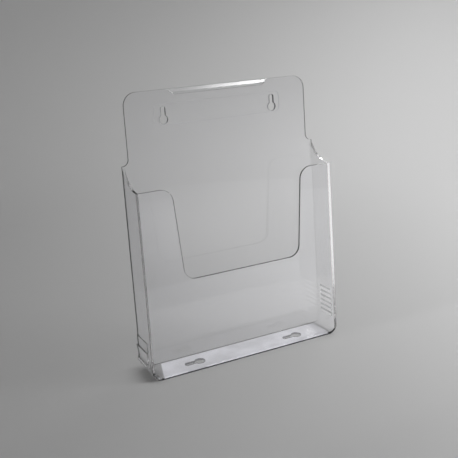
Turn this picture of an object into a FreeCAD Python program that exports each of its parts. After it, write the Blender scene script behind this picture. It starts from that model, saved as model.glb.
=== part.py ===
import FreeCAD
import Part
import Sketcher
import os

# A clear single-pocket magazine rack that hangs on a wall or stands on a counter.
# Millimetres, +Z up, +X to the viewer's right, +Y towards the wall.
# The origin is on the floor plane, in the middle of the rack's width and depth.
# Every wall is a separate sheet; the sheets meet face to face, as bonded sheets do.

DRIVING_SIZES = [
    # the sheets and the pocket
    ("panel_thick", 2.5, "thickness of every wall"),
    ("pocket_width", 235.0, "outside width of the pocket at its base"),
    ("pocket_depth", 38.0, "front panel's face to back panel's face, at the base"),
    ("wall_lean", 0.5, "degrees that the side and front walls lean inwards"),
    ("corner_radius", 11.0, "outside radius of the rolled lower corners"),
    ("corner_margin", 2.0, "flat of the side wall past the roll, before the base joint"),
    # the back panel's outline
    ("plate_height", 303.0, "height of the back panel"),
    ("shoulder_rise", 22.5, "front rim up to where the back panel narrows"),
    ("shoulder_inset", 7.5, "how much it narrows on each side"),
    ("shoulder_radius", 7.0, "hollow radius in each shoulder"),
    ("top_radius", 14.0, "radius of the top corners"),
    # the front panel and the side walls' rims
    ("lip_height", 206.0, "height of the front panel"),
    ("gap_width", 140.0, "finger gap's width at its bottom"),
    ("gap_bottom", 105.5, "height of the finger gap's bottom"),
    ("gap_flare", 4.0, "degrees that each side of the gap opens upwards"),
    ("gap_radius", 13.0, "radius of the gap's bottom corners"),
    ("lip_radius", 14.0, "radius where the gap meets the front rim"),
    ("rim_step", 2.0, "drop from the shoulder to the back end of the side rim"),
    # the keyholes high in the back panel
    ("hang_spacing", 130.0, "distance between the upper keyholes"),
    ("hang_drop", 31.2, "top edge down to their round ends' centres"),
    ("hang_head", 9.5, "diameter of the round end, for a screw head"),
    ("hang_slot", 5.0, "width of the slot, for a screw shank"),
    ("hang_travel", 11.0, "round end's centre to the slot end's centre"),
    # the strip behind the upper keyholes
    ("strip_length", 150.0, "length of the hanger strip"),
    ("strip_height", 22.5, "height of the hanger strip"),
    ("strip_thick", 1.0, "thickness of the hanger strip"),
    ("strip_radius", 5.0, "corner radius of the hanger strip"),
    ("strip_drop", 1.3, "hanger strip below the round ends"),
    # the bevelled grip along the top edge
    ("grip_length", 120.0, "length of the grip along the top edge"),
    ("grip_height", 6.2, "height of the grip"),
    ("grip_proud", 3.0, "how far the grip stands in front of the back panel"),
    ("grip_land", 0.5, "flat on top of the grip before the bevel"),
    ("grip_bevel", 4.0, "height of the bevelled face"),
    ("grip_rake", 8.0, "how much shorter the grip is at each end of its bottom"),
    # the keyholes in the base
    ("foot_spacing", 126.0, "distance between the base keyholes"),
    ("foot_shift", 2.0, "both base keyholes sit this far to the right of the middle"),
    ("foot_head", 12.0, "diameter of their round ends"),
    ("foot_slot", 6.0, "width of their slots"),
    ("foot_travel", 15.0, "round end's centre to the slot end's centre"),
    # the clip and the rail that join racks side by side
    ("link_proud", 2.2, "how far the clip and the rail stand out of the side walls"),
    ("link_skin", 0.8, "how far their valleys stand out"),
    ("clip_bottom", 12.5, "height of the clip's lower edge"),
    ("clip_heel", 1.5, "height of the clip's lower lip"),
    ("clip_valley", 20.0, "height of the clip's valley"),
    ("clip_nose", 31.0, "height of the clip's upper lip"),
    ("clip_top", 42.0, "height of the clip's upper edge"),
    ("clip_setback", 9.0, "clip's front end behind the pocket's front"),
    ("rail_bottom", 17.5, "height of the rail's lower edge"),
    ("rail_pitch", 5.9, "distance between the rail's ridges"),
    ("rail_ridges", 6, "number of ridges on the rail"),
    ("rail_setback", 10.0, "rail's front end behind the pocket's front"),
    ("rail_rear_gap", 5.4, "rail's rear end in front of the back panel"),
    # cutting tools reach this far past the material
    ("overcut", 5.0, "how far a cutting outline runs past the material"),
]

# Places that follow from the sizes. OUT(z) is the leaning outer face of a side wall.
HALF_DEPTH = "(Sizes.pocket_depth + Sizes.panel_thick + Sizes.strip_thick) / 2"
BACK_FACE = f"({HALF_DEPTH} - Sizes.strip_thick - Sizes.panel_thick)"
REAR_FACE = f"({HALF_DEPTH} - Sizes.strip_thick)"
FRONT_FACE = f"(-{HALF_DEPTH})"
FRONT_INSIDE = f"({FRONT_FACE} + Sizes.panel_thick)"
HALF_WIDTH = "(Sizes.pocket_width / 2)"
SHOULDER = "(Sizes.lip_height + Sizes.shoulder_rise)"
SHOULDER_X = f"({HALF_WIDTH} - {SHOULDER} * tan(Sizes.wall_lean) - Sizes.shoulder_inset)"
HANG_HEIGHT = "(Sizes.plate_height - Sizes.hang_drop)"
GRIP_BOTTOM = "(Sizes.plate_height - Sizes.grip_height)"
STRIP_BOTTOM = f"({HANG_HEIGHT} - Sizes.hang_head / 2 - Sizes.strip_drop)"
BASE_END = f"({HALF_WIDTH} - Sizes.corner_radius - Sizes.corner_margin)"

SIDE_LEFT = -1
SIDE_RIGHT = 1
SAME_PLACE = 1e-4

doc = FreeCAD.newDocument("MagazineRack")
sheet = doc.addObject("Spreadsheet::Sheet", "Sizes")
for row, (alias, value, meaning) in enumerate(DRIVING_SIZES, start=1):
    sheet.set(f"A{row}", meaning)
    sheet.set(f"B{row}", str(value))
    sheet.setAlias(f"B{row}", alias)
doc.recompute()


def size(expression):
    """The number that a spreadsheet expression gives now."""
    return float(sheet.evalExpression(expression))


def wall_x(side, height, outwards="0"):
    """X of a side wall's leaning outer face at a height, moved outwards by a distance."""
    return f"{side} * ({HALF_WIDTH} - ({height}) * tan(Sizes.wall_lean) + ({outwards}))"


def new_body(label):
    body = doc.addObject("PartDesign::Body", label)
    body.Label = label
    return body


def new_sketch(body, name, role, offset=None):
    """A sketch on one of the body's own origin planes, moved along its normal by offset."""
    sketch = body.newObject("Sketcher::SketchObject", name)
    plane = next(item for item in body.Origin.OriginFeatures if item.Role == role)
    sketch.AttachmentSupport = [(plane, "")]
    sketch.MapMode = "FlatFace"
    if offset is not None:
        sketch.setExpression("AttachmentOffset.Base.z", offset)
    return sketch


def fix_point(sketch, geometry, point, across, up):
    """Dimension a sketch point from the sketch's origin with two expressions."""
    for kind, expression in (("DistanceX", across), ("DistanceY", up)):
        constraint = Sketcher.Constraint(kind, -1, 1, geometry, point, size(expression))
        index = sketch.addConstraint(constraint)
        sketch.setExpression(f"Constraints[{index}]", expression)


def add_outline(sketch, corners):
    """A closed run of straight lines through corners, each given as two expressions."""
    spots = [FreeCAD.Vector(size(across), size(up), 0) for across, up in corners]
    lines = []
    for start, end in zip(spots, spots[1:] + spots[:1]):
        lines.append(sketch.addGeometry(Part.LineSegment(start, end), False))
    for line, following in zip(lines, lines[1:] + lines[:1]):
        sketch.addConstraint(Sketcher.Constraint("Coincident", line, 2, following, 1))
    for line, (across, up) in zip(lines, corners):
        fix_point(sketch, line, 1, across, up)


def add_circle(sketch, across, up, radius):
    """A circle whose centre and radius are given as expressions."""
    centre = FreeCAD.Vector(size(across), size(up), 0)
    circle = Part.Circle(centre, FreeCAD.Vector(0, 0, 1), size(radius))
    geometry = sketch.addGeometry(circle, False)
    fix_point(sketch, geometry, 3, across, up)
    index = sketch.addConstraint(Sketcher.Constraint("Radius", geometry, size(radius)))
    sketch.setExpression(f"Constraints[{index}]", radius)


def pad(body, name, sketch, length, symmetric=False, backwards=False):
    feature = body.newObject("PartDesign::Pad", name)
    feature.Profile = sketch
    feature.SideType = "Symmetric" if symmetric else "One side"
    feature.Reversed = backwards
    feature.setExpression("Length", length)
    doc.recompute()
    return feature


def cut_through(body, name, sketch):
    """Cut the sketch through the whole body, and check that it removed something."""
    before = body.Shape.Volume
    feature = body.newObject("PartDesign::Pocket", name)
    feature.Profile = sketch
    feature.Type = "ThroughAll"
    feature.SideType = "Symmetric"
    doc.recompute()
    if body.Shape.Volume >= before - SAME_PLACE:
        raise RuntimeError(f"{name} removed nothing from {body.Label}")
    return feature


def round_edges(body, name, spots, radius):
    """Round the edges that run along Y through spots, each an (x, z) pair of expressions."""
    feature = body.Tip
    wanted = [(size(across), size(up)) for across, up in spots]
    names = []
    for number, edge in enumerate(feature.Shape.Edges, start=1):
        if edge.Curve.TypeId != "Part::GeomLine":
            continue
        if abs(edge.Curve.Direction.y) < 1 - SAME_PLACE:
            continue
        middle = edge.CenterOfMass
        for across, up in wanted:
            if abs(middle.x - across) < SAME_PLACE and abs(middle.z - up) < SAME_PLACE:
                names.append(f"Edge{number}")
    if len(names) != len(spots):
        raise RuntimeError(f"{name} found {len(names)} edges, not {len(spots)}")
    fillet = body.newObject("PartDesign::Fillet", name)
    fillet.Base = (feature, names)
    fillet.setExpression("Radius", radius)
    doc.recompute()
    return fillet


def both_sides(across, up):
    """The same spot on the left and on the right."""
    return [(f"-({across})", up), (across, up)]


def cut_keyholes(body, name, role, keys, head, slot):
    """Cut keyholes: each has a round end, a slot's round end, and the slot between them."""
    heads = new_sketch(body, f"{name}Heads", role)
    for head_spot, end_spot, slot_corners in keys:
        add_circle(heads, *head_spot, f"{head} / 2")
    cut_through(body, f"{name}HeadCut", heads)
    ends = new_sketch(body, f"{name}Ends", role)
    for head_spot, end_spot, slot_corners in keys:
        add_circle(ends, *end_spot, f"{slot} / 2")
    cut_through(body, f"{name}EndCut", ends)
    slots = new_sketch(body, f"{name}Slots", role)
    for head_spot, end_spot, slot_corners in keys:
        add_outline(slots, slot_corners)
    cut_through(body, f"{name}SlotCut", slots)


def hanging_keys():
    """The upper keyholes: round end below, slot above, as seen on the XZ plane."""
    keys = []
    for side in (SIDE_LEFT, SIDE_RIGHT):
        middle = f"{side} * Sizes.hang_spacing / 2"
        low = HANG_HEIGHT
        high = f"{HANG_HEIGHT} + Sizes.hang_travel"
        left = f"{middle} - Sizes.hang_slot / 2"
        right = f"{middle} + Sizes.hang_slot / 2"
        corners = [(left, low), (right, low), (right, high), (left, high)]
        keys.append(((middle, low), (middle, high), corners))
    return keys


def foot_keys():
    """The base keyholes: round end to the right, slot to the left, as seen from above."""
    keys = []
    middle = f"({FRONT_FACE} + {BACK_FACE}) / 2"
    near = f"{middle} - Sizes.foot_slot / 2"
    far = f"{middle} + Sizes.foot_slot / 2"
    for side in (SIDE_LEFT, SIDE_RIGHT):
        centre = f"({side} * Sizes.foot_spacing / 2 + Sizes.foot_shift)"
        overall = "(Sizes.foot_head / 2 + Sizes.foot_travel + Sizes.foot_slot / 2)"
        head = f"{centre} + {overall} / 2 - Sizes.foot_head / 2"
        end = f"{head} - Sizes.foot_travel"
        corners = [(end, near), (head, near), (head, far), (end, far)]
        keys.append(((head, middle), (end, middle), corners))
    return keys


def make_back_panel():
    """The tall plate: full width up to the shoulders, narrower above them."""
    body = new_body("back_panel")
    sketch = new_sketch(body, "BackOutline", "XZ_Plane", f"-{BACK_FACE}")
    top = "Sizes.plate_height"
    top_x = f"{SHOULDER_X} - ({top} - {SHOULDER}) * tan(Sizes.wall_lean)"
    right_half = [
        (HALF_WIDTH, "0"),
        (wall_x(SIDE_RIGHT, SHOULDER), SHOULDER),
        (SHOULDER_X, SHOULDER),
        (top_x, top),
    ]
    left_half = [(f"-({across})", up) for across, up in reversed(right_half)]
    add_outline(sketch, right_half + left_half)
    pad(body, "BackPlate", sketch, "Sizes.panel_thick", backwards=True)
    round_edges(body, "LowerCorners", both_sides(HALF_WIDTH, "0"), "Sizes.corner_radius")
    round_edges(body, "Shoulders", both_sides(SHOULDER_X, SHOULDER), "Sizes.shoulder_radius")
    round_edges(body, "TopCorners", both_sides(top_x, top), "Sizes.top_radius")
    cut_keyholes(body, "Hang", "XZ_Plane", hanging_keys(), "Sizes.hang_head", "Sizes.hang_slot")
    return body


def make_front_panel():
    """The front plate with the finger gap, drawn upright and then leaned back in place."""
    body = new_body("front_panel")
    sketch = new_sketch(body, "FrontOutline", "XZ_Plane")
    lip = "Sizes.lip_height"
    gap_bottom = "Sizes.gap_bottom"
    gap_x = "Sizes.gap_width / 2"
    lip_x = f"{gap_x} + ({lip} - {gap_bottom}) * tan(Sizes.gap_flare)"
    right_half = [
        (HALF_WIDTH, "0"),
        (wall_x(SIDE_RIGHT, lip), lip),
        (lip_x, lip),
        (gap_x, gap_bottom),
    ]
    left_half = [(f"-({across})", up) for across, up in reversed(right_half)]
    add_outline(sketch, right_half + left_half)
    pad(body, "FrontPlate", sketch, "Sizes.panel_thick")
    round_edges(body, "LowerCorners", both_sides(HALF_WIDTH, "0"), "Sizes.corner_radius")
    round_edges(body, "GapCorners", both_sides(gap_x, gap_bottom), "Sizes.gap_radius")
    round_edges(body, "LipCorners", both_sides(lip_x, lip), "Sizes.lip_radius")
    body.Placement = FreeCAD.Placement(FreeCAD.Vector(), FreeCAD.Rotation(FreeCAD.Vector(1, 0, 0), -1))
    body.setExpression("Placement.Rotation.Angle", "-Sizes.wall_lean")
    body.setExpression("Placement.Base.y", FRONT_INSIDE)
    return body


def make_side_wall(side, label):
    """A side wall that rounds into the base, thinning at the corner; its rim is a hollow arc."""
    body = new_body(label)
    sketch = new_sketch(body, "WallSection", "XZ_Plane", f"-{BACK_FACE}")
    thick = "Sizes.panel_thick"
    inner_corner = (wall_x(side, thick, f"-{thick}"), thick)
    add_outline(sketch, [
        (wall_x(side, "0"), "0"),
        (wall_x(side, SHOULDER), SHOULDER),
        (wall_x(side, SHOULDER, f"-{thick}"), SHOULDER),
        inner_corner,
        (f"{side} * {BASE_END}", thick),
        (f"{side} * {BASE_END}", "0"),
    ])
    pad(body, "Wall", sketch, f"{BACK_FACE} - {FRONT_INSIDE}")
    round_edges(body, "OuterRoll", [(wall_x(side, "0"), "0")], "Sizes.corner_radius")
    round_edges(body, "InnerRoll", [inner_corner], f"Sizes.corner_radius - 2 * {thick}")

    front_cut = new_sketch(body, "FrontLean", "YZ_Plane")
    lean_at_top = f"{FRONT_INSIDE} + {SHOULDER} * tan(Sizes.wall_lean)"
    add_outline(front_cut, [
        (FRONT_INSIDE, "0"),
        (lean_at_top, SHOULDER),
        (f"{FRONT_INSIDE} - Sizes.overcut", SHOULDER),
        (f"{FRONT_INSIDE} - Sizes.overcut", "0"),
    ])
    cut_through(body, "FrontLeanCut", front_cut)

    rim_cut = new_sketch(body, "RimArc", "YZ_Plane")
    arc_front = f"({FRONT_INSIDE} + Sizes.lip_height * tan(Sizes.wall_lean))"
    run = f"({BACK_FACE} - {arc_front})"
    rise = "(Sizes.shoulder_rise - Sizes.rim_step)"
    arc_radius = f"({run}^2 + {rise}^2) / (2 * {rise})"
    add_circle(rim_cut, arc_front, f"Sizes.lip_height + {arc_radius}", arc_radius)
    cut_through(body, "RimCut", rim_cut)
    return body


def make_base_panel():
    """The pocket's floor, between the two side walls, with the base keyholes."""
    body = new_body("base_panel")
    sketch = new_sketch(body, "BaseSection", "YZ_Plane")
    thick = "Sizes.panel_thick"
    add_outline(sketch, [
        (FRONT_INSIDE, "0"),
        (BACK_FACE, "0"),
        (BACK_FACE, thick),
        (f"{FRONT_INSIDE} + {thick} * tan(Sizes.wall_lean)", thick),
    ])
    pad(body, "Floor", sketch, f"2 * {BASE_END}", symmetric=True)
    cut_keyholes(body, "Foot", "XY_Plane", foot_keys(), "Sizes.foot_head", "Sizes.foot_slot")
    return body


def make_hanger_strip():
    """The thin strip on the back of the panel, round both upper keyholes."""
    body = new_body("hanger_strip")
    sketch = new_sketch(body, "StripOutline", "XZ_Plane", f"-{REAR_FACE}")
    half = "Sizes.strip_length / 2"
    low = STRIP_BOTTOM
    high = f"{STRIP_BOTTOM} + Sizes.strip_height"
    add_outline(sketch, [(f"-{half}", low), (half, low), (half, high), (f"-{half}", high)])
    pad(body, "Strip", sketch, "Sizes.strip_thick", backwards=True)
    corners = both_sides(half, low) + both_sides(half, high)
    round_edges(body, "StripCorners", corners, "Sizes.strip_radius")
    cut_keyholes(body, "Hang", "XZ_Plane", hanging_keys(), "Sizes.hang_head", "Sizes.hang_slot")
    return body


def make_top_grip():
    """The bevelled bar along the middle of the top edge, with raked ends."""
    body = new_body("top_grip")
    sketch = new_sketch(body, "GripSection", "YZ_Plane")
    front = f"{BACK_FACE} - Sizes.grip_proud"
    top = "Sizes.plate_height"
    add_outline(sketch, [
        (BACK_FACE, GRIP_BOTTOM),
        (BACK_FACE, top),
        (f"{BACK_FACE} - Sizes.grip_land", top),
        (front, f"{top} - Sizes.grip_bevel"),
        (front, GRIP_BOTTOM),
    ])
    pad(body, "Grip", sketch, "Sizes.grip_length", symmetric=True)
    ends = new_sketch(body, "GripEnds", "XZ_Plane")
    for side in (SIDE_LEFT, SIDE_RIGHT):
        tip = f"{side} * Sizes.grip_length / 2"
        beyond = f"{side} * (Sizes.grip_length / 2 + Sizes.overcut)"
        under = f"{GRIP_BOTTOM} - Sizes.overcut"
        slope = "(Sizes.grip_rake / Sizes.grip_height)"
        inset = f"{slope} * (Sizes.grip_height + Sizes.overcut)"
        low_tip = f"{side} * (Sizes.grip_length / 2 - {inset})"
        add_outline(ends, [(tip, top), (beyond, top), (beyond, under), (low_tip, under)])
    cut_through(body, "GripEndCut", ends)
    return body


def make_link_clip():
    """The clip low on the left wall: a valley between two lips, under a flat skin."""
    body = new_body("left_link_clip")
    sketch = new_sketch(body, "ClipSection", "XZ_Plane", f"-{REAR_FACE}")
    side = SIDE_LEFT
    bottom = "Sizes.clip_bottom"
    heel = f"{bottom} + Sizes.clip_heel"
    nose = "Sizes.clip_nose"
    top = "Sizes.clip_top"
    add_outline(sketch, [
        (wall_x(side, bottom), bottom),
        (wall_x(side, bottom, "Sizes.link_proud"), bottom),
        (wall_x(side, heel, "Sizes.link_proud"), heel),
        (wall_x(side, "Sizes.clip_valley", "Sizes.link_skin"), "Sizes.clip_valley"),
        (wall_x(side, nose, "Sizes.link_proud"), nose),
        (wall_x(side, nose, "Sizes.link_skin"), nose),
        (wall_x(side, top, "Sizes.link_skin"), top),
        (wall_x(side, top), top),
    ])
    pad(body, "Clip", sketch, f"{REAR_FACE} - {FRONT_FACE} - Sizes.clip_setback")
    return body


def make_link_rail():
    """The rail low on the right wall: a skin that carries a row of equal ridges."""
    body = new_body("right_link_rail")
    sketch = new_sketch(body, "RailSection", "XZ_Plane", f"-({BACK_FACE} - Sizes.rail_rear_gap)")
    side = SIDE_RIGHT
    corners = [(wall_x(side, "Sizes.rail_bottom"), "Sizes.rail_bottom")]
    ridges = int(size("Sizes.rail_ridges"))
    for number in range(ridges):
        valley = f"(Sizes.rail_bottom + {number} * Sizes.rail_pitch)"
        crest = f"({valley} + Sizes.rail_pitch / 2)"
        corners.append((wall_x(side, valley, "Sizes.link_skin"), valley))
        corners.append((wall_x(side, crest, "Sizes.link_proud"), crest))
    top = f"(Sizes.rail_bottom + {ridges} * Sizes.rail_pitch)"
    corners.append((wall_x(side, top, "Sizes.link_skin"), top))
    corners.append((wall_x(side, top), top))
    add_outline(sketch, corners)
    length = "Sizes.pocket_depth - Sizes.rail_setback - Sizes.rail_rear_gap"
    pad(body, "Rail", sketch, length)
    return body


pieces = [
    make_back_panel(),
    make_front_panel(),
    make_side_wall(SIDE_LEFT, "left_side_wall"),
    make_side_wall(SIDE_RIGHT, "right_side_wall"),
    make_base_panel(),
    make_hanger_strip(),
    make_top_grip(),
    make_link_clip(),
    make_link_rail(),
]
doc.recompute()

for item in doc.Objects:
    if "Invalid" in item.State or "Error" in item.State:
        raise RuntimeError(f"{item.Name} failed to compute: {item.State}")
for piece in pieces:
    if piece.Shape.isNull() or not piece.Shape.isValid() or len(piece.Shape.Solids) != 1:
        raise RuntimeError(f"{piece.Label} is not one valid solid")

os.makedirs("parts", exist_ok=True)
for piece in pieces:
    piece.Shape.exportStep(f"parts/{piece.Label}.step")
    box = piece.Shape.BoundBox
    print(f"{piece.Label}: {piece.Shape.Volume:.1f} mm3, X {box.XMin:.2f} to {box.XMax:.2f}, "
          f"Y {box.YMin:.2f} to {box.YMax:.2f}, Z {box.ZMin:.2f} to {box.ZMax:.2f}")
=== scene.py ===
import math

import bmesh
import bpy
from mathutils import Matrix, Vector
from mathutils.bvhtree import BVHTree


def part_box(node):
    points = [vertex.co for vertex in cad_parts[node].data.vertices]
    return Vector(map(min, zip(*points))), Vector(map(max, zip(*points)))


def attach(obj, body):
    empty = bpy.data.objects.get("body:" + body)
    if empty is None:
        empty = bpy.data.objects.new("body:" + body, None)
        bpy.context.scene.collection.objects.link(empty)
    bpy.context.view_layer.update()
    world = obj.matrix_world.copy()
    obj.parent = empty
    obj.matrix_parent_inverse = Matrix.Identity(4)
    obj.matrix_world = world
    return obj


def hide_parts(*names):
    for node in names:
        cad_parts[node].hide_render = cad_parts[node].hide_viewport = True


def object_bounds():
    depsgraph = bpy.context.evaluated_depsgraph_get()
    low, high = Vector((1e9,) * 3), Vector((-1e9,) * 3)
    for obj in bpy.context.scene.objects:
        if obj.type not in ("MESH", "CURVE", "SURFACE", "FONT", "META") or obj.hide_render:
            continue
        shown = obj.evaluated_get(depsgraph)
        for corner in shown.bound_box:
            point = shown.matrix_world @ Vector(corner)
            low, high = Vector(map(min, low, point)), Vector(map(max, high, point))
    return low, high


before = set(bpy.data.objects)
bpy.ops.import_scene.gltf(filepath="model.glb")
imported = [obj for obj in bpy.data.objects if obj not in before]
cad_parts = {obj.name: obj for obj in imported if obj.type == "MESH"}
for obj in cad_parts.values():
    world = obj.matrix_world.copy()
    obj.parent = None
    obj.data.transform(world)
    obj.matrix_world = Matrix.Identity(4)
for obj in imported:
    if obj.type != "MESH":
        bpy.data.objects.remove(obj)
cad_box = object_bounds()

# ---------------------------------------------------------------- the rack's own places
MM = 0.001
LOW, HIGH = (Vector(corner) for corner in cad_box)
HEIGHT = HIGH.z - LOW.z

BACK_LOW, BACK_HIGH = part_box("back_panel")
BASE_LOW, BASE_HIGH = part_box("base_panel")
STRIP_LOW, STRIP_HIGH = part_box("hanger_strip")
GRIP_LOW, GRIP_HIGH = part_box("top_grip")
CLIP_LOW, CLIP_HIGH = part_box("left_link_clip")
RAIL_LOW, RAIL_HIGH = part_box("right_link_rail")
FRONT_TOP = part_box("front_panel")[1].z
WALL_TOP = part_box("right_side_wall")[1].z

# the CAD's sizes that its boxes don't show
LEAN = math.tan(math.radians(0.5))
SHEET = BASE_HIGH.z - BASE_LOW.z
CORNER = 11.0 * MM
CORNER_FLAT = 2.0 * MM
INNER_CORNER = CORNER - 2 * SHEET
OUTER_HALF = BASE_HIGH.x + CORNER + CORNER_FLAT
STRIP_CORNER = 5.0 * MM
GRIP_RAKE = 8.0 * MM

TOUCHING = 0.01 * MM
SLAB = 0.06 * MM

# ---------------------------------------------------------------- the plastic's looks
# how far each piece's free edges are rounded over, and how much painted shade darkens those rims
EDGE_ROUNDING = 0.4 * MM
GRIP_ROUNDING = 0.5 * MM
RIM_PAINTED_SHADE_BY_PIECE = {
    "front_panel": 0.6,
    "hanger_strip": 0.0,
    "top_grip": 0.3,
    "left_link_clip": 0.6,
    "right_link_rail": 0.0,
}
# painted shade on the rims, the base's back joint and the holes, and a painted contact shadow along
# the foot
PAINTED_RIM_SHADE = 0.5
PAINTED_JOINT_SHADE = 0.6
PAINTED_FOOT_SHADOW = 0.85
PAINTED_HOLE_SHADE = 0.7

# surface: waves of the moulding, smudges, and rubs near the foot
WAVE_HEIGHT = 0.008 * MM
POLISH = 0.01
SMUDGE_ROUGHNESS = 0.03
RUB_ROUGHNESS = 0.2
RUBBED_HEIGHT = 12.0 * MM

# grain and painted glow: how milky the base's underside and the strip's edges are, and how much
# painted light glows from them
UNDERSIDE_GRAIN_AND_PAINTED_GLOW = 0.5
CLOUD_GRAIN_AND_PAINTED_GLOW = 0.2
STRIP_GRAIN_AND_PAINTED_GLOW = 0.4
GRAIN_SLANT = 0.3
GRAIN_PAINTED_GLOW = 0.33

# painted light for light caught inside a sheet: a near-black painted glow that darkens deep paths,
# a painted bright band in the right wall, and how many turns it takes to be caught
PAINTED_LOST_LIGHT = 0.02
PAINTED_WALL_GLOW = 0.8
LOST_TURNS = 8.5
WALL_TURNS = 3.5

# how much light a face lets through to make the rack's shadow
SHADOW_PASS = 0.985
GRAZING_LOSS = 0.08
END_LOSS = 0.5
RAIL_CLEARNESS = 0.45

# ---------------------------------------------------------------- the studio and the camera
FLOOR_RADIUS = 3.0 * HEIGHT
WALL_BEND = 4.5 * HEIGHT
WALL_HEIGHT = 7.0 * HEIGHT
FLOOR_RINGS = (0.0, 0.3, 0.6, 0.85, 1.0)
BEND_STEPS = 16
FLOOR_TURNS = 96
LIGHT_BOUNCES = 24
CLEAR_LAYERS = 32

# A standing viewer's three-quarter view from the rack's left.
CAMERA_PLACE = Vector((-0.35217, -0.71857, 0.36350))
CAMERA_RIGHT = Vector((0.89140, -0.44852, -0.06503))
CAMERA_UP = Vector((0.17447, 0.20719, 0.96262))
CAMERA_LENS = 59.01
SENSOR = 36.0


def add_camera():
    data = bpy.data.cameras.new("studio_camera")
    data.lens = CAMERA_LENS
    data.sensor_width = SENSOR
    camera = bpy.data.objects.new("studio_camera", data)
    backwards = CAMERA_RIGHT.cross(CAMERA_UP).normalized()
    up = backwards.cross(CAMERA_RIGHT).normalized()
    axes = Matrix((CAMERA_RIGHT.normalized(), up, backwards)).transposed()
    camera.matrix_world = Matrix.Translation(CAMERA_PLACE) @ axes.to_4x4()
    bpy.context.collection.objects.link(camera)
    bpy.context.scene.camera = camera


# ---------------------------------------------------------------- node helpers
class Tree:
    """Short words for building a material's nodes."""

    def __init__(self, name):
        self.material = bpy.data.materials.new(name)
        self.material.use_nodes = True
        self.tree = self.material.node_tree
        self.tree.nodes.clear()
        self.output = self.add("ShaderNodeOutputMaterial")

    def add(self, kind, **settings):
        node = self.tree.nodes.new(kind)
        for key, value in settings.items():
            setattr(node, key, value)
        return node

    def feed(self, socket, value):
        """Give a socket a number or a colour, or link it to another node's output."""
        if isinstance(value, bpy.types.NodeSocket):
            self.tree.links.new(value, socket)
        else:
            socket.default_value = value

    def place(self):
        """The place on the object, whole and as its three numbers."""
        place = self.add("ShaderNodeNewGeometry").outputs["Position"]
        split = self.add("ShaderNodeSeparateXYZ")
        self.feed(split.inputs[0], place)
        return place, *split.outputs

    def math(self, operation, *values):
        node = self.add("ShaderNodeMath", operation=operation)
        for socket, value in zip(node.inputs, values):
            self.feed(socket, value)
        return node.outputs[0]

    def plus(self, a, b):
        return self.math("ADD", a, b)

    def minus(self, a, b):
        return self.math("SUBTRACT", a, b)

    def times(self, a, b):
        return self.math("MULTIPLY", a, b)

    def size(self, a):
        return self.math("ABSOLUTE", a)

    def near(self, a, b, distance=SLAB):
        """1 where a is within distance of b."""
        return self.math("COMPARE", a, b, distance)

    def under(self, a, b):
        return self.math("LESS_THAN", a, b)

    def between(self, low, value, high):
        return self.every(self.under(low, value), self.under(value, high))

    def every(self, *values):
        result = values[0]
        for value in values[1:]:
            result = self.math("MINIMUM", result, value)
        return result

    def some(self, *values):
        result = values[0]
        for value in values[1:]:
            result = self.math("MAXIMUM", result, value)
        return result

    def rises(self, value, start, end):
        """A smooth climb from 0 at start to 1 at end."""
        node = self.add("ShaderNodeMapRange", interpolation_type="SMOOTHSTEP")
        for socket, setting in zip(node.inputs, (value, start, end)):
            self.feed(socket, setting)
        return node.outputs[0]

    def noise(self, place, scale, detail):
        node = self.add("ShaderNodeTexNoise")
        self.feed(node.inputs["Vector"], place)
        node.inputs["Scale"].default_value = scale
        node.inputs["Detail"].default_value = detail
        return node.outputs[0]

    def stretched(self, place, along):
        """The same place with each axis stretched, for long narrow marks."""
        node = self.add("ShaderNodeVectorMath", operation="MULTIPLY")
        self.feed(node.inputs[0], place)
        node.inputs[1].default_value = along
        return node.outputs[0]

    def blend(self, share, first, second):
        node = self.add("ShaderNodeMixShader")
        for socket, value in zip(node.inputs, (share, first, second)):
            self.feed(socket, value)
        return node.outputs[0]

    def sum(self, first, second):
        node = self.add("ShaderNodeAddShader")
        self.feed(node.inputs[0], first)
        self.feed(node.inputs[1], second)
        return node.outputs[0]

    def inside_box(self, y, z, low, high):
        """1 between a box's lowest and highest corners, along Y and Z."""
        return self.every(self.between(low.y, y, high.y), self.between(low.z, z, high.z))

    def within_rounded(self, across, up, half_across, half_up, radius):
        """1 inside a rounded rectangle; across and up are distances from its middle lines."""
        past_across = self.some(self.minus(across, half_across - radius), 0.0)
        past_up = self.some(self.minus(up, half_up - radius), 0.0)
        squares = self.plus(self.times(past_across, past_across), self.times(past_up, past_up))
        return self.under(squares, radius * radius)


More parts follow.
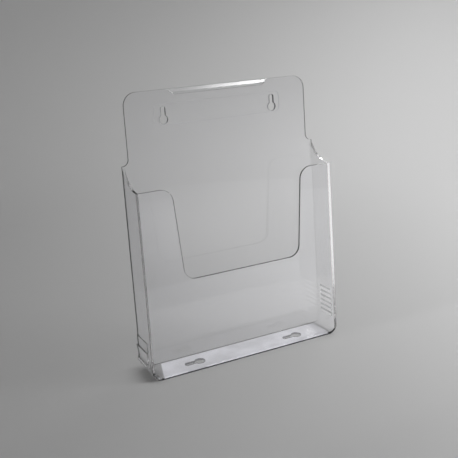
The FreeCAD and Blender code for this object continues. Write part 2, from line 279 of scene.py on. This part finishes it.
# ---------------------------------------------------------------- the clear plastic
def seams(tree):
    """1 on the hidden faces where two pieces meet, because the plastic goes on through them."""
    _, x, y, z = tree.place()
    side = tree.size(x)
    leaned_side = tree.plus(side, tree.times(z, LEAN))
    leaned_front = tree.minus(y, tree.times(z, LEAN))

    # the rim of the front and back panels, outside the pocket's rounded hollow
    pocket_half = OUTER_HALF - SHEET
    tall = 2 * HEIGHT
    above_floor = tree.size(tree.minus(z, SHEET + tall))
    hollow = tree.within_rounded(leaned_side, above_floor, pocket_half, tall, INNER_CORNER)
    wall_ends = tree.minus(1.0, hollow)
    front = tree.every(tree.near(leaned_front, BASE_LOW.y), wall_ends)
    back = tree.every(tree.near(y, BACK_LOW.y), wall_ends, tree.under(z, WALL_TOP))
    base = tree.every(tree.near(side, BASE_HIGH.x), tree.under(z, SHEET))

    middle = (STRIP_LOW + STRIP_HIGH) / 2
    half = (STRIP_HIGH - STRIP_LOW) / 2
    from_strip = tree.size(tree.minus(z, middle.z))
    strip_face = tree.within_rounded(side, from_strip, half.x, half.z, STRIP_CORNER)
    strip = tree.every(tree.near(y, BACK_HIGH.y), strip_face)

    rake = GRIP_RAKE / (GRIP_HIGH.z - GRIP_LOW.z)
    grip_end = tree.plus(side, tree.times(tree.minus(GRIP_HIGH.z, z), rake))
    grip = tree.every(
        tree.near(y, BACK_LOW.y), tree.under(GRIP_LOW.z, z), tree.under(grip_end, GRIP_HIGH.x)
    )

    on_wall = tree.near(leaned_side, OUTER_HALF)
    clip = tree.every(on_wall, tree.under(x, 0.0), tree.inside_box(y, z, CLIP_LOW, CLIP_HIGH))
    rail = tree.every(on_wall, tree.under(0.0, x), tree.inside_box(y, z, RAIL_LOW, RAIL_HIGH))
    return tree.some(front, back, base, strip, grip, clip, rail)


def polished(tree):
    """The clear surface, with slow moulding waves, smudges and the fine rubs of handling."""
    place, _, _, z = tree.place()
    plastic = tree.add("ShaderNodeBsdfPrincipled")
    plastic.inputs["Base Color"].default_value = (0.985, 0.985, 0.995, 1)
    plastic.inputs["IOR"].default_value = 1.5
    plastic.inputs["Transmission Weight"].default_value = 1.0

    waves = tree.add("ShaderNodeBump")
    waves.inputs["Strength"].default_value = 1.0
    waves.inputs["Distance"].default_value = WAVE_HEIGHT
    tree.feed(waves.inputs["Height"], tree.noise(place, scale=18.0, detail=1.0))
    tree.feed(plastic.inputs["Normal"], waves.outputs[0])

    smudges = tree.rises(tree.noise(place, scale=45.0, detail=4.0), 0.58, 0.75)
    long_marks = tree.stretched(place, (40.0, 40.0, 900.0))
    rubs = tree.rises(tree.noise(long_marks, scale=1.0, detail=3.0), 0.66, 0.8)
    near_foot = tree.rises(z, RUBBED_HEIGHT, 0.0)
    rubbed = tree.times(tree.times(rubs, near_foot), RUB_ROUGHNESS)
    worn = tree.some(tree.times(smudges, SMUDGE_ROUGHNESS), rubbed)
    tree.feed(plastic.inputs["Roughness"], tree.plus(POLISH, worn))
    return plastic.outputs[0]


def grained_with_painted_glow(tree, skin):
    """The base's underside is fine-grained, so it looks milky, and a painted glow lightens it; the
    strip's edges get the same grain and painted glow.
    """
    place, x, y, z = tree.place()
    milky = tree.add("ShaderNodeBsdfDiffuse")
    milky.inputs["Color"].default_value = (0.86, 0.86, 0.93, 1)
    # painted light: the grained faces glow though they are no lamp
    glow = tree.add("ShaderNodeEmission")
    glow.inputs["Color"].default_value = (0.97, 0.97, 1.0, 1)
    glow.inputs["Strength"].default_value = GRAIN_PAINTED_GLOW

    start = tree.plus(BASE_LOW.x, tree.times(tree.minus(y, BASE_LOW.y), GRAIN_SLANT))
    underside = tree.every(
        tree.near(z, BASE_LOW.z),
        tree.between(BASE_LOW.y, y, BASE_HIGH.y),
        tree.rises(tree.minus(x, start), -1.0 * MM, 0.0),
    )
    clouds = tree.rises(tree.noise(place, scale=26.0, detail=2.0), 0.35, 0.7)
    under = tree.times(underside, tree.plus(UNDERSIDE_GRAIN_AND_PAINTED_GLOW, tree.times(clouds, CLOUD_GRAIN_AND_PAINTED_GLOW)))
    strip_edge = tree.every(
        tree.between(BACK_HIGH.y + SLAB, y, STRIP_HIGH.y - SLAB), tree.under(BASE_HIGH.z, z)
    )
    share = tree.some(under, tree.times(strip_edge, STRIP_GRAIN_AND_PAINTED_GLOW))
    return tree.blend(share, skin, tree.sum(milky.outputs[0], glow.outputs[0]))


def with_painted_caught_light(tree, skin, turns):
    """Painted light for light caught in a sheet: deep paths end in a near-black painted glow, save
    in the right wall, which is turned to the key light and gets a painted bright band.
    """
    _, x, _, z = tree.place()
    in_wall = tree.under(OUTER_HALF - SHEET, tree.plus(x, tree.times(z, LEAN)))
    in_wall = tree.times(in_wall, tree.rises(z, RAIL_LOW.z, 2 * RAIL_HIGH.z))
    in_wall = tree.times(in_wall, tree.rises(z, FRONT_TOP, FRONT_TOP - 2 * SHEET))
    # this emission is painted light: a near-black glow for lost light, and a bright band in the
    # right wall
    caught = tree.add("ShaderNodeEmission")
    painted_brightness = tree.times(tree.rises(in_wall, 0.0, 0.3), PAINTED_WALL_GLOW)
    tree.feed(caught.inputs["Strength"], tree.plus(PAINTED_LOST_LIGHT, painted_brightness))
    from_wall = tree.times(tree.under(WALL_TURNS, turns), in_wall)
    deep = tree.some(tree.under(LOST_TURNS, turns), from_wall)
    return tree.blend(deep, skin, caught.outputs[0])


def with_painted_shade_lines(tree, skin):
    """Painted shade darkens the rounded rims, the base's holes and the base's back joint, and a
    painted contact shadow darkens the foot.
    """
    _, x, y, z = tree.place()
    # near-black paint, blended in as painted shade and painted contact shadow
    shade = tree.add("ShaderNodeBsdfDiffuse")
    shade.inputs["Color"].default_value = (0.02, 0.02, 0.025, 1)

    # the rim attribute holds each rounded face's share of painted shade
    rim = tree.add("ShaderNodeAttribute", attribute_name="rim").outputs["Fac"]
    joint = tree.every(
        tree.near(y, BACK_LOW.y, 0.5 * MM), tree.near(z, BASE_HIGH.z + 0.2 * MM, 0.3 * MM)
    )
    # painted contact shadow along the front foot and the left rolled foot
    front_foot_shadow = tree.every(tree.under(y, BASE_LOW.y + 0.2 * MM), tree.under(z, 1.8 * MM))
    left_foot_shadow = tree.every(
        tree.under(x, BASE_LOW.x),
        tree.rises(z, 0.6 * MM, 1.0 * MM),
        tree.rises(z, 2.4 * MM, 2.0 * MM),
    )
    hole_shade = tree.every(
        tree.between(BASE_LOW.z + SLAB, z, BASE_HIGH.z - SLAB),
        tree.under(tree.size(x), BASE_HIGH.x - SHEET),
        tree.between(BASE_LOW.y + SHEET, y, BASE_HIGH.y - SHEET),
    )
    # the share of painted shade at each place
    dark = tree.some(
        tree.times(rim, PAINTED_RIM_SHADE),
        tree.times(joint, PAINTED_JOINT_SHADE),
        tree.times(front_foot_shadow, PAINTED_FOOT_SHADOW),
        tree.times(left_foot_shadow, PAINTED_FOOT_SHADOW),
        tree.times(hole_shade, PAINTED_HOLE_SHADE),
    )
    return tree.blend(dark, skin, shade.outputs[0])


def with_pale_shadow(tree, skin, paths):
    """Lamps and bounced light pass straight through, losing most at the foot of each end."""
    _, x, _, z = tree.place()
    graze = tree.add("ShaderNodeLayerWeight")
    graze.inputs["Blend"].default_value = 0.35
    passed = tree.minus(SHADOW_PASS, tree.times(graze.outputs["Facing"], GRAZING_LOSS))
    ends = tree.rises(tree.size(x), BASE_HIGH.x - CORNER, OUTER_HALF)
    end_foot = tree.every(ends, tree.rises(z, CORNER, 0.0))
    passed = tree.minus(passed, tree.times(end_foot, END_LOSS))
    grey = tree.add("ShaderNodeCombineColor")
    for socket in grey.inputs[:3]:
        tree.feed(socket, passed)
    through = tree.add("ShaderNodeBsdfTransparent")
    tree.feed(through.inputs["Color"], grey.outputs[0])
    straight = tree.some(paths["Is Shadow Ray"], paths["Is Diffuse Ray"])
    return tree.blend(straight, skin, through.outputs[0])


def clear_plastic(name):
    """Glossy clear plastic: light passes it, its shadow is pale, its surface is faintly wavy."""
    tree = Tree(name)
    paths = tree.add("ShaderNodeLightPath").outputs
    skin = grained_with_painted_glow(tree, polished(tree))
    skin = with_painted_caught_light(tree, skin, paths["Ray Depth"])
    skin = with_painted_shade_lines(tree, skin)
    skin = with_pale_shadow(tree, skin, paths)

    # the faces inside a joint are gone, and the rail's ridges are faint
    _, x, _, z = tree.place()
    on_rail = tree.under(OUTER_HALF + SLAB, tree.plus(x, tree.times(z, LEAN)))
    clear = tree.some(seams(tree), tree.times(on_rail, RAIL_CLEARNESS))
    joined = tree.add("ShaderNodeBsdfTransparent")
    tree.feed(tree.output.inputs["Surface"], tree.blend(clear, skin, joined.outputs[0]))
    return tree.material


# ---------------------------------------------------------------- the moulded pieces
def touches_another(edge, others):
    """True where the middle of an edge lies on another piece."""
    middle = (edge.verts[0].co + edge.verts[1].co) / 2
    return any(other.find_nearest(middle, TOUCHING)[0] is not None for other in others)


def rounded_shape(name, others):
    """The CAD node's shape with every free edge rounded over, as a moulding's are."""
    shape = bmesh.new()
    shape.from_mesh(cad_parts[name].data)
    bmesh.ops.remove_doubles(shape, verts=shape.verts, dist=TOUCHING)
    flat = math.radians(0.2)
    bmesh.ops.dissolve_limit(shape, angle_limit=flat, verts=shape.verts, edges=shape.edges)
    sharp = [edge for edge in shape.edges if edge.calc_face_angle() > math.radians(30)]
    free = [edge for edge in sharp if not touches_another(edge, others)]
    rounding = GRIP_ROUNDING if name == "top_grip" else EDGE_ROUNDING
    # the layer comes first, because adding one later would lose hold of the new faces
    # each rounded face gets its piece's share of painted shade
    rim_painted_shade = shape.faces.layers.float.new("rim")
    rounded = bmesh.ops.bevel(
        shape, geom=free, offset=rounding, segments=3, profile=0.5, affect="EDGES",
        clamp_overlap=True,
    )
    for face in rounded["faces"]:
        face[rim_painted_shade] = RIM_PAINTED_SHADE_BY_PIECE.get(name, 1.0)
    for face in shape.faces:
        face.smooth = True
    for edge in shape.edges:
        edge.smooth = edge.calc_face_angle(0) < math.radians(32)
    return shape


def moulded_piece(name, surfaces, material):
    """A piece that stands for a CAD node, in clear plastic."""
    shape = rounded_shape(name, [surface for other, surface in surfaces.items() if other != name])
    mesh = bpy.data.meshes.new(name + "_moulded")
    shape.to_mesh(mesh)
    shape.free()
    mesh.materials.append(material)
    piece = bpy.data.objects.new(name + "_moulded", mesh)
    bpy.context.collection.objects.link(piece)
    weighted = piece.modifiers.new("even_shading", "WEIGHTED_NORMAL")
    weighted.keep_sharp = True
    weighted.weight = 100
    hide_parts(name)
    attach(piece, "root")


def add_rack():
    plastic = clear_plastic("clear_plastic")
    surfaces = {}
    for name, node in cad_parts.items():
        corners = [vertex.co for vertex in node.data.vertices]
        faces = [face.vertices for face in node.data.polygons]
        surfaces[name] = BVHTree.FromPolygons(corners, faces)
    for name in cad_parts:
        moulded_piece(name, surfaces, plastic)


# ---------------------------------------------------------------- the studio
def studio_paper():
    tree = Tree("studio_paper")
    paper = tree.add("ShaderNodeBsdfPrincipled")
    paper.inputs["Base Color"].default_value = (0.6, 0.6, 0.6, 1)
    paper.inputs["Roughness"].default_value = 0.9
    tree.feed(tree.output.inputs["Surface"], paper.outputs[0])
    return tree.material


def studio_profile():
    """The floor's radius and height, from its middle out and up into the wall."""
    profile = [(share * FLOOR_RADIUS, 0.0) for share in FLOOR_RINGS]
    for step in range(1, BEND_STEPS + 1):
        angle = math.radians(90) * step / BEND_STEPS
        out = FLOOR_RADIUS + WALL_BEND * math.sin(angle)
        profile.append((out, WALL_BEND * (1 - math.cos(angle))))
    profile.append((FLOOR_RADIUS + WALL_BEND, WALL_HEIGHT))
    return profile


def add_studio():
    """A round floor whose rim bends up into a wall, all in one seamless sheet."""
    rings = studio_profile()[1:]
    turns = FLOOR_TURNS
    verts = [(0, 0, 0)]
    for radius, height in rings:
        for turn in range(turns):
            angle = 2 * math.pi * turn / turns
            verts.append((radius * math.cos(angle), radius * math.sin(angle), height))
    faces = [(0, 1 + turn, 1 + (turn + 1) % turns) for turn in range(turns)]
    for ring in range(len(rings) - 1):
        start = 1 + ring * turns
        for turn in range(turns):
            after = (turn + 1) % turns
            faces.append((start + turn, start + turns + turn, start + turns + after, start + after))
    mesh = bpy.data.meshes.new("studio_floor")
    mesh.from_pydata(verts, [], faces)
    mesh.polygons.foreach_set("use_smooth", [True] * len(faces))
    mesh.materials.append(studio_paper())
    floor = bpy.data.objects.new("studio_floor", mesh)
    floor.location.z = LOW.z - 0.1 * MM
    bpy.context.collection.objects.link(floor)


def add_softbox(name, place, target, size, watts, spread=180):
    data = bpy.data.lights.new(name, "AREA")
    data.shape = "SQUARE"
    data.size = size
    data.energy = watts
    data.spread = math.radians(spread)
    light = bpy.data.objects.new(name, data)
    light.location = place
    light.rotation_euler = (Vector(target) - Vector(place)).to_track_quat("-Z", "Y").to_euler()
    light.visible_camera = False
    bpy.context.collection.objects.link(light)


def add_lights():
    """A key light low on the right in front, a wash for the backdrop, and a little air light."""
    add_softbox(
        "key_softbox", place=(1.2, -0.7, 0.6), target=(0.1, 0.3, 0.0), size=0.5, watts=20.7
    )
    add_softbox(
        "backdrop_softbox", place=(1.2, 0.8, 1.3), target=(0.7, 0.8, 0.1), size=0.5, watts=6.9,
        spread=140,
    )
    world = bpy.data.worlds.new("studio_world")
    world.use_nodes = True
    world.node_tree.nodes["Background"].inputs["Color"].default_value = (0.03, 0.03, 0.03, 1)
    bpy.context.scene.world = world


def painted_reflection_sheet(name, corners, glow, outside_only=False):
    """A sheet that adds its glow to whatever lies behind it, and only in mirrored light.

    glow(tree, x, y) gives the strength from the place on the sheet. With outside_only, light
    that has been through the plastic doesn't carry it.
    """
    tree = Tree(name)
    _, x, y, _ = tree.place()
    light = tree.add("ShaderNodeEmission")
    paths = tree.add("ShaderNodeLightPath").outputs
    mirrored = tree.under(0.5, paths["Glossy Depth"])
    if outside_only:
        mirrored = tree.every(mirrored, tree.under(paths["Transmission Depth"], 0.5))
    tree.feed(light.inputs["Strength"], tree.times(mirrored, glow(tree, x, y)))
    clear = tree.add("ShaderNodeBsdfTransparent")
    both = tree.sum(light.outputs[0], clear.outputs[0])
    tree.feed(tree.output.inputs["Surface"], both)
    mesh = bpy.data.meshes.new(name)
    mesh.from_pydata(corners, [], [(0, 1, 2, 3)])
    mesh.materials.append(tree.material)
    sheet = bpy.data.objects.new(name, mesh)
    sheet.visible_camera = False
    sheet.visible_diffuse = False
    sheet.visible_shadow = False
    bpy.context.collection.objects.link(sheet)


def level_corners(low, high, height):
    """The corners of a level rectangle, from its lowest and highest X and Y."""
    outline = ((low[0], low[1]), (high[0], low[1]), (high[0], high[1]), (low[0], high[1]))
    return [(x, y, height) for x, y in outline]


def painted_floor_reflection(tree, x, y):
    """A painted reflection of the lit paper in front: brightest to the right, with a stronger part
    nearer the rack.
    """
    far = tree.every(tree.some(tree.times(x, 3.0), 0.0), 0.6)
    far = tree.times(far, tree.rises(y, -1.1, -0.35))
    close = tree.every(tree.some(tree.plus(0.42, tree.times(x, 2.6)), 0.1), 0.85)
    edge = tree.minus(-0.225, tree.times(tree.rises(x, 0.08, 0.3), -0.03))
    step = tree.rises(tree.minus(y, edge), -6.0 * MM, 6.0 * MM)
    return tree.plus(tree.times(far, tree.minus(1.0, step)), tree.times(close, step))


def painted_overhead_highlight(tree, x, y):
    """A painted highlight: a long soft panel above, hazy at both ends."""
    return tree.times(tree.times(tree.rises(x, 0.58, 0.86), tree.rises(x, 1.0, 0.9)), 14.0)


def add_painted_reflections():
    """Painted reflections for the plastic to mirror: a glowing sheet that stands for the bright
    paper before it, and a painted highlight panel above on the right.
    """
    # a painted reflection of the floor, laid just above the paper
    paper = level_corners((-0.4, -1.4), (1.2, -0.03), LOW.z + MM)
    painted_reflection_sheet("painted_floor_reflection", paper, painted_floor_reflection)
    # a painted highlight panel, seen only in mirrored light
    above = level_corners((0.5, -0.95), (1.1, -0.62), 1.6)
    painted_reflection_sheet("painted_highlight_panel", above, painted_overhead_highlight, outside_only=True)


add_camera()
add_rack()
add_studio()
add_painted_reflections()
add_lights()
bpy.context.scene.cycles.max_bounces = LIGHT_BOUNCES
bpy.context.scene.cycles.transmission_bounces = LIGHT_BOUNCES
bpy.context.scene.cycles.glossy_bounces = LIGHT_BOUNCES
bpy.context.scene.cycles.transparent_max_bounces = CLEAR_LAYERS
bpy.context.scene.view_settings.view_transform = "Standard"
